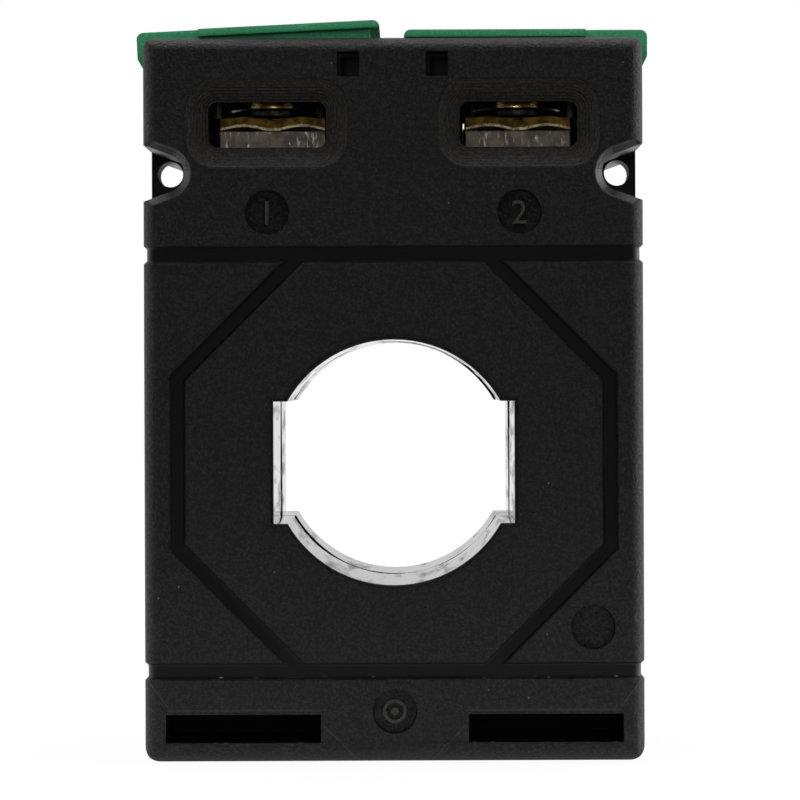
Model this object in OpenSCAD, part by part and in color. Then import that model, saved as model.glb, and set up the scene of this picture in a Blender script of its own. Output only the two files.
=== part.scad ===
// Window-type current transformer with a moulded two-part housing and hinged terminal covers.
// Frame: millimetres, origin under the middle of the feet, +Z up, +X to the right,
// the front face looks along -Y. The primary conductor passes through the window along Y.

/* [Housing] */
// Thickness of the side walls beside the core
side_wall = 1.4; // [1:0.1:3]
// Height of the solid foot of the housing under the core
foot_block_h = 5.7; // [5:0.1:8]
// Height of the space for the leads between the core and the terminal floor
lead_room = 4.2; // [3.8:0.1:8]
// Rounding of the edges round the front and rear faces
edge_r = 1.25; // [0.8:0.05:1.6]
// Rounding of the two upper corners, seen from the front
top_corner_r = 1.1; // [0.6:0.1:2]
// Rounding of the two lower corners, seen from the front
base_corner_r = 1.5; // [0.6:0.1:2]
// Thickness of the front and rear walls in front of the core
face_wall = 1.6; // [1.2:0.1:2]
// Height of the four feet under the base
foot_h = 0.2; // [0.1:0.05:1]
// Length of a foot across the housing
foot_w = 2.8; // [2:0.1:5]
// Length of a foot along the depth
foot_d = 4; // [2:0.5:6]
// Distance from the middle of the housing to the middle of a foot, across
foot_x = 8.8; // [6:0.1:14]
// Distance from the front or rear face to the middle of a foot
foot_inset = 5.5; // [4:0.5:8]

// Distance of the seam between the two halves behind the middle of the depth
seam_y = 3.6; // [0:0.1:3.6]

/* [Window] */
// Radius of the round conductor window
window_r = 10.8; // [9:0.1:16]
// Amount by which the flat sides of the window cut into its round, on each side
flat_cut = 0.2; // [0.1:0.05:0.6]
// Height of the busbar slot
slot_h = 10.75; // [10:0.05:11.5]
// Rounding of the window's edge at the faces
window_edge_r = 0.55; // [0.2:0.05:0.8]
// Bevel of both housing halves at the seam
seam_bevel = 0.1; // [0.05:0.05:0.2]
// Wall between the window and the core cavity
bore_wall = 2.1; // [1.6:0.1:2.2]

/* [Relief on the faces] */
// Depth of the decorative grooves
groove_depth = 0.3; // [0.15:0.05:0.45]
// Width of a groove at the surface
groove_w = 1.6; // [1.2:0.1:2]
// Inset of the cross grooves from the core cavity's highest and lowest points
groove_inset = 2.3; // [1.5:0.1:4]
// Inset of the raised octagon's upright sides from the side faces
octagon_margin = 3.75; // [2.6:0.05:6]
// Inset of the raised octagon's sloping sides, measured along their normals from the same distance
octagon_cut = 0.3; // [0:0.05:2]
// Diameter of the round marking recesses
mark_d = 3.9; // [3:0.1:4.4]
// Depth of the round marking recesses
mark_depth = 0.3; // [0.1:0.05:0.5]
// Drop of the terminal marking recesses below the top of the housing
terminal_mark_drop = 15.4; // [14.9:0.1:15.8]
// Height of the phase marking recess above the base, at the middle
phase_mark_rise = 4.45; // [3.5:0.05:4.6]
// Inset of the approval marking recess from the side face
approval_mark_inset = 4.55; // [4:0.05:6]
// Height of the approval marking recess above the base
approval_mark_rise = 11.8; // [11:0.1:13]
// Width of the square pockets under the top edge
pocket_w = 1.95; // [1.5:0.05:2.2]
// Height of the square pockets
pocket_h = 2.2; // [1.6:0.1:2.4]
// Depth of the square pockets
pocket_depth = 1.4; // [0.8:0.1:1.5]
// Distance of the square pockets from the middle
pocket_x = 3.9; // [3:0.1:4.4]
// Drop of the square pockets' upper edge below the top of the housing
pocket_drop = 1.3; // [1.2:0.1:2]

/* [Side notches and feet sockets] */
// Depth of a side notch from the side face
notch_depth = 3.6; // [3:0.1:3.8]
// Radius at the inner end of a side notch
notch_r = 1.7; // [1.4:0.05:1.8]
// Slope of the notch walls away from the middle of the notch, in degrees
notch_flare = 20; // [10:1:25]
// Drop of the notch's middle below the top of the housing
notch_drop = 11.9; // [11.5:0.1:13]
// Bevel round the notch at the faces
notch_bevel = 0.7; // [0.3:0.1:0.9]
// Thickness of the drilled web in each notch
web_t = 4; // [2:0.5:6]
// Radius of the hole in the web
web_hole_r = 1.15; // [0.8:0.05:1.2]
// Distance from the side face to the middle of the hole in the web
web_hole_inset = 1.7; // [1.6:0.1:2]
// Drop of the web holes below the top of the housing
web_hole_drop = 11.4; // [11:0.1:13]
// Wall between a side notch and the lead space
notch_wall = 1.8; // [1.2:0.1:2.2]
// Width of a socket for a clip-on mounting foot
socket_w = 13.6; // [10:0.1:14]
// Height of a foot socket
socket_h = 2.5; // [1.6:0.1:2.6]
// Depth of a foot socket
socket_depth = 10; // [4:0.5:11]
// Wall between a foot socket and the side face
socket_wall = 1.9; // [1.4:0.1:3]
// Height of a foot socket's lower edge above the base
socket_rise = 1.7; // [1.4:0.05:2]

/* [Terminal chambers] */
// Depth of a terminal chamber below the top of the housing
chamber_h = 10; // [9.6:0.1:10.4]
// Wall in front of and behind the terminal chambers
chamber_wall = 2; // [1.8:0.1:2.4]
// Free space beside a terminal bar in its chamber
bar_side_gap = 0.7; // [0.5:0.05:1]
// Wall between a terminal chamber and its hinge bay
bay_wall = 1; // [0.8:0.1:1.4]
// Height of a wire entry
entry_h = 4; // [3.4:0.1:4.2]
// Height of a wire entry's lower edge above the chamber floor
entry_sill = 0.4; // [0.2:0.1:1]
// Amount by which the chamber is wider than its wire entry, on each side
entry_lip = 0.2; // [0.1:0.05:0.4]
// Width of the funnel round a wire entry, beyond the entry on each side
funnel_flare = 1.95; // [1:0.05:2.2]
// Radius at the corners of the funnel, at the face
funnel_r = 2.6; // [1:0.1:3]
// Radius at the corners of the wire entry
entry_r = 0.8; // [0.3:0.1:1.2]
// Thickness of the floor that carries the terminal bars
deck_t = 2.6; // [2:0.1:3]

/* [Terminals] */
// Width of a terminal bar
bar_w = 9.4; // [9:0.1:9.6]
// Thickness of a terminal bar
bar_t = 2; // [1.6:0.1:2.2]
// Free space at each end of a terminal bar
bar_end_gap = 1.8; // [1:0.1:2.5]
// Width of the solder tail under a terminal bar
tail_w = 3; // [2:0.1:4]
// Thickness of the solder tail
tail_t = 0.8; // [0.5:0.1:1]
// Length of the solder tail below the chamber floor
tail_l = 5.4; // [5:0.1:6]
// Radius of the terminal screws' shank
screw_r = 2; // [1.8:0.05:2.1]
// Length of the terminal screws below the head
screw_l = 8; // [6.5:0.1:8.4]
// Radius of the screw head
head_r = 3.9; // [3.4:0.1:4.1]
// Height of the screw head
head_h = 2.6; // [2:0.1:2.8]
// Width of the driving slot in a screw's head
drive_w = 1; // [0.8:0.1:1.2]
// Depth of the driving slot in a screw's head
drive_depth = 1.2; // [0.8:0.1:1.6]
// Distance of a terminal screw from the end of its bar
screw_inset = 4.2; // [4:0.1:4.8]
// Width of a clamping saddle
saddle_w = 9.3; // [8.8:0.1:9.6]
// Length of a clamping saddle along the depth
saddle_l = 8; // [7.4:0.1:8.4]
// Thickness of the saddle's sheet
saddle_t = 0.9; // [0.6:0.05:1]
// Rise of each of the saddle's two arches above the terminal bar
saddle_rise = 0.35; // [0.2:0.05:0.5]
// Width of the pressed crease along the middle of a saddle
crease_w = 1.1; // [0.8:0.1:1.6]
// Inner radius of the spring washer
washer_ri = 2.15; // [2.12:0.01:2.4]
// Outer radius of the spring washer
washer_ro = 3.7; // [3.2:0.1:3.8]
// Thickness of the spring washer
washer_t = 0.7; // [0.5:0.05:0.9]

/* [Covers] */
// Thickness of a cover's plate
lid_t = 0.65; // [0.6:0.05:1.2]
// Distance of a cover's inner end from the middle
lid_end_x = 1; // [0.6:0.1:1.4]
// Amount by which a cover's lip stands out from the side face
lid_over = 0.5; // [0.3:0.05:0.6]
// Overlap of a cover on the top of the front and rear walls
lid_ledge = 0.8; // [0.4:0.1:1]
// Rounding of a cover's ends
lid_r = 0.6; // [0.3:0.05:0.6]
// Thickness of a cover's skirts and lip
skirt_t = 0.8; // [0.6:0.05:1]
// Reach of the skirts below the top of the housing
skirt_h = 2.4; // [1.8:0.1:2.6]
// Inset of the hinge from the side face
hinge_inset = 2.3; // [2.2:0.1:2.6]
// Drop of the hinge below the top of the housing
hinge_drop = 2.7; // [2.6:0.1:3]
// Radius of the hinge pins on the covers
hinge_pin_r = 1; // [0.7:0.05:1.1]
// Length of a hinge pin beyond its skirt
hinge_pin_l = 1; // [0.6:0.1:1.1]
// Radius of the round lug that carries a hinge pin
lug_r = 1.7; // [1.5:0.05:1.8]
// Length of the snap rib on a skirt
rib_l = 3.7; // [2:0.1:5]
// Height of the snap rib on a skirt
rib_h = 1.2; // [0.8:0.1:1.6]
// Opening angle of the left cover as it stands, in degrees
left_open = 2.7; // [0:0.1:60]
// Width of the wall left between the two covers' wells
middle_wall = 3.2; // [2.8:0.1:3.4]

/* [Core and winding] */
// Height of the wound strip core along the window's axis
core_h = 22; // [16:0.5:40]
// Radial thickness of the wound strip core
core_build = 3.9; // [3:0.1:4.2]
// Thickness of the insulating wrap on the core
wrap_t = 0.3; // [0.1:0.05:0.4]
// Diameter of the secondary winding's wire
wire_d = 0.9; // [0.7:0.05:1]
// Turns of the secondary winding
turns = 60; // [20:1:80]
// Thickness of the tape over the winding
tape_t = 0.25; // [0.1:0.05:0.35]
// Thickness of the foam pads at both ends of the core
pad_t = 0.8; // [0.5:0.1:1.2]
// Diameter of the leads between the winding and the terminals
lead_d = 1.4; // [1:0.1:1.8]
// Angle from the upright at which a lead leaves the winding, in degrees
lead_angle = 20; // [17:1:23]

/* [Clearances] */
// Sideways play of a terminal bar between its ribs
terminal_play = 0.5; // [0.3:0.05:0.6]
// Sideways place of the left terminal in its play, as it stands
left_shift = 0.4; // [-0.25:0.05:0.4]
// Gap between layers that lie on each other
layer_gap = 0.05; // [0.02:0.01:0.08]
// Gap between the taped ring and the cavity walls
ring_gap = 0.3; // [0.1:0.05:0.35]
// Radial gap of the hinge pins and of the screws in their holes
pin_gap = 0.06; // [0.02:0.01:0.1]
// Gap between the covers' skirts and the walls
skirt_gap = 0.15; // [0.1:0.05:0.3]
// Gap under a closed cover
lid_gap = 0.08; // [0.05:0.01:0.15]
// Clearance below and round moving parts
swing_gap = 0.5; // [0.3:0.1:0.6]
// Gap of the locating pegs and of the solder tails in their slots
seat_gap = 0.1; // [0.05:0.01:0.15]

/* [Joining of the two halves] */
// Radius of the locating pegs
peg_r = 1.2; // [0.8:0.1:1.4]
// Length of the locating pegs
peg_l = 2; // [1:0.1:4]
// Distance from the side face to the middle of a peg
peg_inset = 3; // [2.6:0.1:3.2]
// Distance of the pegs from the cross grooves, towards the outside
peg_offset = 1.2; // [0:0.1:1.6]

/* [Hidden] */
$fn = 64;
// Small overlap of shapes that are joined, and the reach of a cutting shape past what it cuts
eps = 0.01;
past = 1;
// Amount by which a flared mouth runs into the straight opening behind it
run_in = 0.06;
// Straight length of a wire entry behind its funnel
entry_land = 0.3;

// Layers of the core, from the window outwards
layers = layer_gap + wrap_t + layer_gap + wire_d + layer_gap + tape_t;
cavity_ri = window_r + bore_wall;
core_ri = cavity_ri + ring_gap + layers;
core_ro = core_ri + core_build;
cavity_ro = core_ro + layers + ring_gap;
core_half = core_h / 2;
cavity_half = core_half + layers + pad_t;

// Planes of the housing
half_w = cavity_ro + side_wall;
half_d = cavity_half + face_wall;
case_w = 2 * half_w;
case_d = 2 * half_d;
base_z = foot_h;
window_z = base_z + foot_block_h + cavity_ro;
deck_z = window_z + cavity_ro + lead_room;
floor_z = deck_z + deck_t;
top_z = floor_z + chamber_h;
case_h = top_z - base_z;
foot_y = half_d - foot_inset;
slot_w = 2 * (window_r - flat_cut);
upper_groove_z = window_z + cavity_ro - groove_inset;
lower_groove_z = window_z - cavity_ro + groove_inset;
octagon_side = half_w - octagon_margin;
octagon_slope = octagon_side - octagon_cut;
socket_x = half_w - socket_wall - socket_w / 2;

// Hinges and terminal chambers, from the side faces inwards
pivot_x = half_w - hinge_inset;
pivot_z = top_z - hinge_drop;
bay_x = pivot_x - lug_r - swing_gap;
chamber_w = bar_w + 2 * bar_side_gap;
terminal_x = bay_x - bay_wall - chamber_w / 2;
chamber_half_d = half_d - chamber_wall;
bar_l = 2 * (chamber_half_d - bar_end_gap);
screw_y = bar_l / 2 - screw_inset;
bar_top_z = floor_z + bar_t;
well_z = top_z - skirt_h - swing_gap;
lip_reach = hinge_inset + lid_over;
bay_z = pivot_z - lip_reach - swing_gap;
lead_space_x = half_w - notch_depth - notch_wall;
lead_space_z = window_z + cavity_ri + past;

// Stack of parts on a terminal bar
washer_z = bar_top_z + layer_gap + saddle_rise + saddle_t;
head_z = washer_z + washer_t + layer_gap;
screw_tip_z = head_z - screw_l;
screw_hole_r = screw_r + pin_gap;
pit_r = screw_r + terminal_play;
pit_wall = 0.8;
pit_z = screw_tip_z - terminal_play;

// Ribs that hold a terminal bar
rib_t = 1;
rib_places = [-bar_l / 2 + 1.5 * rib_t, -seam_y - rib_t];

// Locating pegs between the two halves
peg_x = half_w - peg_inset;
peg_heights = [lower_groove_z - peg_offset, upper_groove_z + peg_offset];

// ---------------------------------------------------------------- outlines

// Rounded rectangle about the origin, with its own radius at the upper and lower corners
module rounded_rect(w, h, r_top, r_low) {
    square([w, h - 2 * max(r_top, r_low)], center = true);
    for (s = [-1, 1]) {
        translate([s * (w / 2 - r_top), h / 2 - r_top]) circle(r_top);
        translate([s * (w / 2 - r_low), -h / 2 + r_low]) circle(r_low);
    }
    translate([-w / 2 + r_top, 0]) square([w - 2 * r_top, h / 2]);
    translate([-w / 2 + r_low, -h / 2]) square([w - 2 * r_low, h / 2]);
    for (s = [-1, 1]) {
        translate([s > 0 ? w / 2 - r_top : -w / 2, 0]) square([r_top, h / 2 - r_top]);
        translate([s > 0 ? w / 2 - r_low : -w / 2, -h / 2 + r_low]) square([r_low, h / 2 - r_low]);
    }
}

// Stands a drawing in the X-Z plane and gives it depth from y0 to y1
module along_y(y0, y1) {
    translate([0, y1, 0]) rotate([90, 0, 0]) linear_extrude(y1 - y0) children();
}

// Runs a drawing in the Y-Z plane from x0 to x1
module along_x(x0, x1) {
    translate([x0, 0, 0]) rotate([90, 0, 90]) linear_extrude(x1 - x0) children();
}

// Both sides of the housing
module both_sides() {
    children();
    mirror([1, 0, 0]) children();
}

// ---------------------------------------------------------------- housing, drawn as its front half

// Block with rounded edges, from the front face to depth reach
module half_block(reach) {
    intersection() {
        along_y(-half_d, reach)
            translate([0, base_z + case_h / 2])
                rounded_rect(case_w, case_h, top_corner_r, base_corner_r);
        translate([0, 0, base_z - past])
            linear_extrude(case_h + 2 * past)
                rounded_rect(case_w, case_d, edge_r, edge_r);
        along_x(-half_w - past, half_w + past)
            translate([0, base_z + case_h / 2])
                rounded_rect(case_d, case_h, edge_r, edge_r);
    }
}

// Section of what stays inside a cross groove, from the axis out to a surface at distance r;
// the sloping flanks run on a little past the surface
function groove_flank(r) = [[0, -groove_w / 2 - run_in], [r + run_in, -groove_w / 2 - run_in],
                            [r - groove_depth, groove_depth - groove_w / 2],
                            [r - groove_depth, groove_w / 2 - groove_depth],
                            [r + run_in, groove_w / 2 + run_in], [0, groove_w / 2 + run_in]];

// What stays inside a cross groove: the block's own section, drawn in
module groove_core(z) {
    translate([0, 0, z]) {
        along_x(-half_w + edge_r, half_w - edge_r)
            mirror([1, 0]) polygon(groove_flank(half_d));
        both_sides() {
            along_y(-half_d + edge_r, half_d) polygon(groove_flank(half_w));
            translate([half_w - edge_r, -half_d + edge_r, 0])
                rotate_extrude() polygon(groove_flank(edge_r));
        }
    }
}

// Groove round the front and the sides
module cross_groove(z) {
    slab_h = groove_w + 2 * run_in;
    difference() {
        translate([-half_w - past, -half_d - past, z - slab_h / 2])
            cube([case_w + 2 * past, case_d, slab_h]);
        groove_core(z);
    }
}

// Octagonal frustum on the front face; its sides move out by slope for each unit of depth
module octagon_frustum(grow, slope) {
    bottom = -half_d + groove_depth;
    top = -half_d - past;
    for_depth = function(y) slope * (y + half_d);
    side = octagon_side + grow;
    diagonal = octagon_slope + grow;
    translate([0, 0, window_z])
        intersection_for(flank = [[0, side], [45, diagonal], [-45, diagonal]])
            rotate([0, flank[0], 0])
                translate([0, 0, -case_h])
                    linear_extrude(2 * case_h)
                        polygon([[-flank[1] - for_depth(top), top], [flank[1] + for_depth(top), top],
                                 [flank[1] + for_depth(bottom), bottom],
                                 [-flank[1] - for_depth(bottom), bottom]]);
}

// Groove round the raised octagon, running into both cross grooves
module octagon_groove() {
    intersection() {
        difference() {
            octagon_frustum(groove_w - 0.1, -1);
            octagon_frustum(0, 1);
        }
        translate([-half_w, -half_d - past, lower_groove_z])
            cube([case_w, case_d, upper_groove_z - lower_groove_z]);
    }
}

// Half of the window's section: out from the axis to h, eased at the face and at the seam
function window_profile(h, reach) = concat(
    [[h + window_edge_r + past, -half_d - past]],
    [for (i = [4 : -1 : 0])
        [h + window_edge_r * (1 - cos(22.5 * i)), -half_d + window_edge_r * (1 - sin(22.5 * i))]],
    [[h, reach - seam_bevel], [h + seam_bevel, reach], [h + seam_bevel, reach + past]]);

// Prism with the window's section on both sides, 2 * h wide, running along Z
module window_bar(h, reach) {
    side = window_profile(h, reach);
    mirrored = [for (i = [len(side) - 1 : -1 : 0]) [-side[i][0], side[i][1]]];
    translate([0, 0, -case_h]) linear_extrude(2 * case_h) polygon(concat(side, mirrored));
}

// Conductor window: a round opening with flat sides, and a slot for a busbar
module window(reach) {
    translate([0, 0, window_z])
        intersection() {
            window_bar(slot_w / 2, reach);
            union() {
                rotate([-90, 0, 0])
                    rotate_extrude()
                        polygon(concat([[0, -half_d - past]], window_profile(window_r, reach),
                                       [[0, reach + past]]));
                rotate([0, 90, 0]) window_bar(slot_h / 2, reach);
            }
        }
}

// Space for the taped ring
module core_cavity() {
    translate([0, 0, window_z])
        along_y(-cavity_half, cavity_half)
            difference() {
                circle(cavity_ro);
                circle(cavity_ri);
            }
}

// Space for the leads above the ring, below the terminal floor
module lead_space() {
    translate([-lead_space_x, -cavity_half, lead_space_z])
        cube([2 * lead_space_x, 2 * cavity_half, deck_z - lead_space_z]);
}

// Mouth of a wire entry in the face, narrowing to the entry itself
module wire_entry() {
    w = chamber_w - 2 * entry_lip;
    translate([terminal_x, 0, floor_z + entry_sill + entry_h / 2]) {
        along_y(-half_d, -chamber_half_d + past) rounded_rect(w, entry_h, entry_r, entry_r);
        hull() {
            along_y(-half_d - eps, -half_d)
                rounded_rect(w + 2 * funnel_flare, entry_h + 2 * funnel_flare, funnel_r, funnel_r,
                             $fn = 32);
            along_y(-chamber_half_d - entry_land, -chamber_half_d - entry_land + run_in)
                rounded_rect(w - 2 * run_in, entry_h - 2 * run_in, entry_r, entry_r, $fn = 32);
        }
    }
}

// Terminal chamber, the covers' well above it and the bay that the cover's lip swings in
module chamber_cuts() {
    translate([terminal_x - chamber_w / 2, -chamber_half_d, floor_z])
        cube([chamber_w, 2 * chamber_half_d, chamber_h + past]);
    translate([middle_wall / 2, -chamber_half_d, well_z])
        cube([half_w, 2 * chamber_half_d, top_z - well_z + past]);
    translate([bay_x, -chamber_half_d, bay_z])
        cube([half_w, 2 * chamber_half_d, top_z - bay_z + past]);
    translate([pivot_x, 0, pivot_z])
        along_y(-chamber_half_d - hinge_pin_l - seat_gap, -chamber_half_d + past)
            circle(hinge_pin_r + pin_gap);
    translate([terminal_x, -screw_y, pit_z]) cylinder(h = chamber_h + deck_t, r = pit_r);
    translate([terminal_x - tail_w / 2 - terminal_play, -tail_t / 2 - seat_gap, deck_z - past])
        cube([tail_w + 2 * terminal_play, tail_t + 2 * seat_gap, deck_t + 2 * past]);
}

// Boss under the floor that the tip of a terminal screw reaches into
module screw_pit() {
    translate([terminal_x, -screw_y, pit_z - pit_wall])
        cylinder(h = deck_z - pit_z + pit_wall + eps, r = pit_r + pit_wall);
}

// Ribs that hold a terminal bar in the middle of its chamber
module bar_ribs() {
    rib_reach = bar_side_gap - terminal_play;
    for (y = rib_places, side = [-1, 1])
        translate([terminal_x + side * (chamber_w / 2 - rib_reach / 2), y, floor_z + bar_t / 2])
            cube([rib_reach + eps, rib_t, bar_t + eps], center = true);
}

// Section of a side notch on the right-hand side, about the notch's own middle height
module notch_section(grow) {
    r = notch_r + grow;
    cx = half_w - notch_depth + notch_r;
    tx = cx - r * sin(notch_flare);
    tz = r * cos(notch_flare);
    out_x = half_w + past;
    out_z = tz + (out_x - tx) * tan(notch_flare);
    translate([cx, 0]) circle(r);
    polygon([[tx, -tz], [out_x, -out_z], [out_x, out_z], [tx, tz]]);
}

// Side notch from the face to the web, and from behind the web on
module side_notch(web) {
    translate([0, 0, top_z - notch_drop]) {
        along_y(-half_d - eps, -web) notch_section(0);
        along_y(0, half_d) notch_section(0);
        hull() {
            along_y(-half_d - eps, -half_d) notch_section(notch_bevel, $fn = 32);
            along_y(-half_d + notch_bevel, -half_d + notch_bevel + run_in)
                notch_section(-run_in, $fn = 32);
        }
    }
}

// Round recess in the face
module mark_recess(x, z) {
    translate([x, 0, z]) along_y(-half_d - past, -half_d + mark_depth) circle(mark_d / 2);
}

// Square pocket under the top edge, with a shallower block standing in it
module square_pocket(x) {
    step = 0.4;
    translate([x - pocket_w / 2, -half_d - past, top_z - pocket_drop - pocket_h])
        difference() {
            cube([pocket_w, past + pocket_depth, pocket_h]);
            translate([step, past + pocket_depth / 2, -past])
                cube([pocket_w, pocket_depth, pocket_h - step + past]);
        }
}

// Socket for a clip-on mounting foot
module foot_socket() {
    translate([socket_x - socket_w / 2, -half_d - past, base_z + socket_rise])
        cube([socket_w, socket_depth + past, socket_h]);
}

// One half of the housing, drawn as the front half up to depth reach, with a web of
// thickness web across its side notches
module housing_half(reach, web) {
    difference() {
        union() {
            difference() {
                half_block(reach);
                cross_groove(upper_groove_z);
                cross_groove(lower_groove_z);
                octagon_groove();
                window(reach);
                core_cavity();
                lead_space();
                mark_recess(0, base_z + phase_mark_rise);
                both_sides() {
                    mark_recess(terminal_x, top_z - terminal_mark_drop);
                    foot_socket();
                }
                for (s = [-1, 1]) square_pocket(s * pocket_x);
                side_notch(web);
                mirror([1, 0, 0]) side_notch(web);
            }
            both_sides() {
                screw_pit();
                translate([foot_x - foot_w / 2, -foot_y - foot_d / 2, 0])
                    cube([foot_w, foot_d, foot_h + eps]);
            }
        }
        both_sides() chamber_cuts();
        wire_entry();
        mirror([1, 0, 0]) wire_entry();
    }
    both_sides() bar_ribs();
}

module front_housing() {
    color([0.1, 0.1, 0.1])
        difference() {
            housing_half(seam_y, web_t);
            mark_recess(half_w - approval_mark_inset, base_z + approval_mark_rise);
            both_sides() {
                translate([half_w - web_hole_inset, 0, top_z - web_hole_drop])
                    along_y(-web_t - past, past) circle(web_hole_r);
                for (z = peg_heights)
                    translate([peg_x, 0, z])
                        along_y(seam_y - peg_l - seat_gap, seam_y + past) circle(peg_r + seat_gap / 2);
            }
        }
}

module rear_housing() {
    color([0.12, 0.12, 0.12]) {
        mirror([0, 1, 0]) housing_half(-seam_y, 0);
        both_sides()
            for (z = peg_heights)
                translate([peg_x, 0, z]) along_y(seam_y - peg_l, seam_y + eps) circle(peg_r);
    }
}

// ---------------------------------------------------------------- covers

// Section of a closed right-hand cover along the depth: plate with rounded ends, and its lip
module cover_section() {
    under = top_z + lid_gap;
    over = under + lid_t;
    out_x = half_w + lid_over;
    lip_z = pivot_z + 0.3;
    translate([lid_end_x + lid_r, under]) square([out_x - lid_end_x - 2 * lid_r, lid_t]);
    translate([lid_end_x, under]) square([lid_r, lid_t - lid_r]);
    translate([lid_end_x + lid_r, over - lid_r]) intersection() {
        circle(lid_r);
        translate([-lid_r, 0]) square(lid_r);
    }
    translate([out_x - lid_r, over - lid_r]) intersection() {
        circle(lid_r);
        square(lid_r);
    }
    polygon([[out_x - skirt_t, under + eps], [out_x - skirt_t, lip_z], [out_x - skirt_t / 2, lip_z],
             [out_x, lip_z + skirt_t], [out_x, over - lid_r], [out_x - lid_r, over - lid_r]]);
}

// Skirt on the front side of a cover, with the lug and pin of the hinge
module cover_skirt() {
    outer = chamber_half_d - skirt_gap;
    under = top_z + lid_gap;
    skirt_z = top_z - skirt_h;
    x0 = middle_wall / 2 + 2 * skirt_gap;
    along_y(-outer, -outer + skirt_t) {
        translate([x0, skirt_z]) square([half_w + lid_over - skirt_t - x0 + eps, under - skirt_z + eps]);
        translate([pivot_x, pivot_z]) circle(lug_r);
    }
    translate([pivot_x, 0, pivot_z]) along_y(-outer - hinge_pin_l, -outer + eps) circle(hinge_pin_r);
    translate([terminal_x - rib_l - swing_gap, -outer - skirt_gap * 2 / 3, under - rib_h])
        cube([rib_l, skirt_gap, rib_h + eps]);
}

// A closed right-hand cover
module cover() {
    hinge_half = chamber_half_d - skirt_gap;
    plate_half = chamber_half_d + lid_ledge;
    ledge_x = pivot_x - hinge_drop;
    x0 = middle_wall / 2 + 2 * skirt_gap;
    intersection() {
        along_y(-plate_half, plate_half) cover_section();
        union() {
            translate([0, -plate_half, top_z]) cube([ledge_x, 2 * plate_half, 2 * lid_t]);
            translate([0, -hinge_half, pivot_z]) cube([case_w, 2 * hinge_half, case_h]);
        }
    }
    cover_skirt();
    mirror([0, 1, 0]) cover_skirt();
    translate([x0, -hinge_half + eps, top_z - skirt_h])
        cube([skirt_t, 2 * (hinge_half - eps), skirt_h + lid_gap + eps]);
}

module right_cover() {
    color([0.1, 0.5, 0.3]) cover();
}

module left_cover() {
    color([0.1, 0.5, 0.3])
        mirror([1, 0, 0])
            translate([pivot_x, 0, pivot_z])
                rotate([0, left_open, 0])
                    translate([-pivot_x, 0, -pivot_z]) cover();
}

// ---------------------------------------------------------------- terminals

module terminal_bar() {
    color([0.62, 0.58, 0.53])
        difference() {
            union() {
                translate([-bar_w / 2, -bar_l / 2, floor_z]) cube([bar_w, bar_l, bar_t]);
                translate([-tail_w / 2, -tail_t / 2, floor_z - tail_l])
                    cube([tail_w, tail_t, tail_l + eps]);
            }
            for (s = [-1, 1])
                translate([0, s * screw_y, floor_z - past])
                    cylinder(h = bar_t + 2 * past, r = screw_hole_r);
        }
}

// Height of the saddle's underside at a distance x from its middle: two shallow arches
function arch(x) = saddle_rise * sin(180 * max(0, abs(x) - crease_w / 2)
                                     / (saddle_w / 2 - crease_w / 2));

module saddle() {
    steps = 12;
    xs = [for (s = [-1, 1], i = [0 : steps])
        s * (crease_w / 2 + (saddle_w - crease_w) / 2 * (s < 0 ? steps - i : i) / steps)];
    under = [for (x = xs) [x, arch(x)]];
    over = [for (i = [len(xs) - 1 : -1 : 0]) [xs[i], max(arch(xs[i]), saddle_rise * 0.6) + saddle_t]];
    crease = [[crease_w / 4, saddle_t], [-crease_w / 4, saddle_t]];
    half = len(xs) / 2;
    color([0.78, 0.62, 0.25])
        translate([0, 0, bar_top_z + layer_gap])
            difference() {
                along_y(-saddle_l / 2, saddle_l / 2)
                    polygon(concat(under, [for (i = [0 : half - 1]) over[i]], crease,
                                   [for (i = [half : 2 * half - 1]) over[i]]));
                translate([0, 0, -past]) cylinder(h = saddle_t + 2 * past, r = washer_ri);
            }
}

// Split spring washer, flattened by the tightened screw
module spring_washer() {
    color([0.7, 0.7, 0.7])
        translate([0, 0, washer_z])
            difference() {
                cylinder(h = washer_t, r = washer_ro);
                translate([0, 0, -past]) cylinder(h = washer_t + 2 * past, r = washer_ri);
                rotate([0, 20, 35]) translate([0, -0.25, -past]) cube([washer_ro + past, 0.5, 4 * past]);
            }
}

// Pan-head terminal screw with a driving slot
module terminal_screw() {
    crown_r = 2 * head_r;
    color([0.8, 0.65, 0.3])
        difference() {
            union() {
                translate([0, 0, screw_tip_z + 0.4]) cylinder(h = screw_l - 0.4 + eps, r = screw_r);
                translate([0, 0, screw_tip_z]) cylinder(h = 0.4, r1 = screw_r - 0.4, r2 = screw_r);
                translate([0, 0, head_z])
                    intersection() {
                        cylinder(h = head_h, r = head_r);
                        translate([0, 0, head_h - crown_r]) sphere(crown_r);
                    }
            }
            translate([-head_r - past, -drive_w / 2, head_z + head_h - drive_depth])
                cube([2 * (head_r + past), drive_w, drive_depth + past]);
        }
}

// Places a part on the terminal at the given side and end of the housing
module at_terminal(side, end) {
    shift = side < 0 ? left_shift : 0;
    translate([side * terminal_x + shift, end * screw_y, 0]) children();
}

// ---------------------------------------------------------------- core and winding

// Ring about the window's axis
module ring(ri, ro, half) {
    translate([0, 0, window_z])
        along_y(-half, half)
            difference() {
                circle(ro);
                circle(ri);
            }
}

module ring_core() {
    color([0.35, 0.35, 0.38]) ring(core_ri, core_ro, core_half);
}

// Closed layer of thickness t that lies at distance g outside the core on all sides
module layer(g, t) {
    difference() {
        ring(core_ri - g - t, core_ro + g + t, core_half + g + t);
        ring(core_ri - g, core_ro + g, core_half + g);
    }
}

module core_wrap() {
    color([0.9, 0.88, 0.75]) layer(layer_gap, wrap_t);
}

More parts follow.
